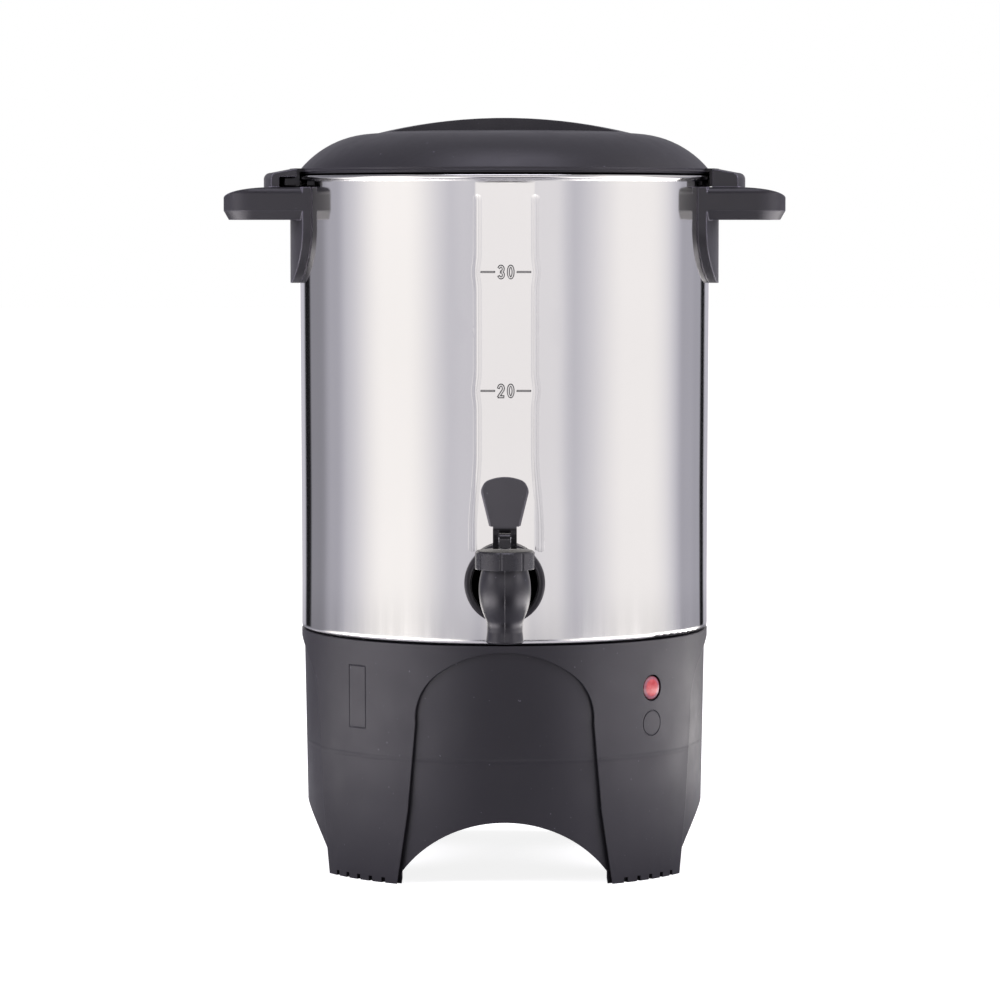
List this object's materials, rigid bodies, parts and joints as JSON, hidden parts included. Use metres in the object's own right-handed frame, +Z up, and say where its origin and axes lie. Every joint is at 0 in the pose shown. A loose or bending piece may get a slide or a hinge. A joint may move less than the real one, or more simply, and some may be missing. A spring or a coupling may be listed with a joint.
{
  "type": "coffee urn",
  "caption": "Free-standing percolator coffee urn with a polished metal vessel, bayonet lid, side handles and a dispensing tap with a cam lever.",
  "frame": {"origin": "on the vessel's axis, at the height of the table the feet stand on", "axes": "+Z up along the vessel's axis, -Y towards the tap, +X towards the right handle seen from the tap"},
  "size_m": [0.258, 0.24, 0.3458],
  "materials": {
    "charcoal": "satin",
    "black_plastic": "matte",
    "lid_black": "satin",
    "tap_black": "soft gloss",
    "polished_steel": "polished",
    "plated_steel": "zinc plated",
    "cast_aluminium": "as cast",
    "basket_aluminium": "satin",
    "mica": "matte",
    "red_lens": "translucent gloss",
    "silicone": "matte"
  },
  "bodies": {
    "urn": {"base_skirt": "charcoal", "clamp_ring": "plated_steel", "bottom_cover": "black_plastic", "cover_screws": "plated_steel", "inlet_housing": "black_plastic", "inlet_pins": "plated_steel", "lamp_lens": "red_lens", "lamp_body": "black_plastic", "vessel": "polished_steel", "vessel_studs": "plated_steel", "deck_nuts": "plated_steel", "boil_heater": "cast_aluminium", "warm_heater": "mica", "thermostat": "black_plastic", "thermal_fuse": "plated_steel", "sensor_bracket": "plated_steel", "handle_left": "charcoal", "handle_right": "charcoal", "handle_screws_left": "plated_steel", "handle_screws_right": "plated_steel", "basket": "basket_aluminium", "basket_floor": "basket_aluminium", "basket_cover": "basket_aluminium", "pump_tube": "basket_aluminium", "tap_body": "tap_black", "tap_gasket_outer": "silicone", "tap_gasket_inner": "silicone", "tap_nut": "tap_black", "tap_bonnet": "tap_black", "seat_cup": "silicone"},
    "tap_stem": {"tap_stem": "tap_black", "tap_pin": "plated_steel"},
    "tap_lever": {"tap_lever": "tap_black"},
    "lid": {"lid": "lid_black"}
  },
  "joints": [
    {"name": "lid_turn", "type": "hinge", "parent": "urn", "child": "lid", "pos_m": [0, 0, 0.3206], "axis": [0, 0, 1], "range_deg": [0, 34]},
    {"name": "stem_lift", "type": "slide", "parent": "urn", "child": "tap_stem", "axis": [0, 0, 1], "range_m": [0, 0.00314], "stiffness_N_per_m": 800, "springref_m": -0.002, "deforming": ["seat_cup"]},
    {"name": "lever_tilt", "type": "hinge", "parent": "tap_stem", "child": "tap_lever", "pos_m": [0, -0.13, 0.1593], "axis": [1, 0, 0], "range_deg": [0, 75]}
  ],
  "couplings": [
    {"joint": "lever_tilt", "follows": "stem_lift", "rad_per_m": 416.67}
  ]
}
